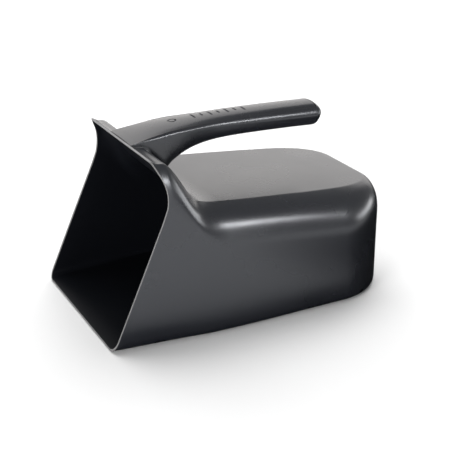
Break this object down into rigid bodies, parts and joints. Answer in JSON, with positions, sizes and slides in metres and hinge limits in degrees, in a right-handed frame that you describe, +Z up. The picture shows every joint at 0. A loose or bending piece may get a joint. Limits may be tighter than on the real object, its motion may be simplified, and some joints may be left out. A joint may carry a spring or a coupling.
{
  "type": "hand scoop",
  "caption": "Moulded black hand scoop: flat-floored bucket with a hood and flared lip, a closed deck and an open-ended handle over it",
  "frame": {"origin": "middle of the bounding box at floor level, on the flat underside of the bucket", "axes": "+Z up; the mouth faces -Y and the closed rear wall faces +Y; X runs across the scoop"},
  "size_m": [0.1372, 0.2135, 0.126],
  "materials": {
    "bucket": "satin black moulded polypropylene",
    "handle": "satin black moulded polypropylene",
    "cover": "satin black moulded polypropylene, slightly smoother"
  },
  "bodies": {
    "root": {"bucket_shell": "bucket", "handle_body": "handle", "handle_cover": "cover"}
  },
  "joints": []
}
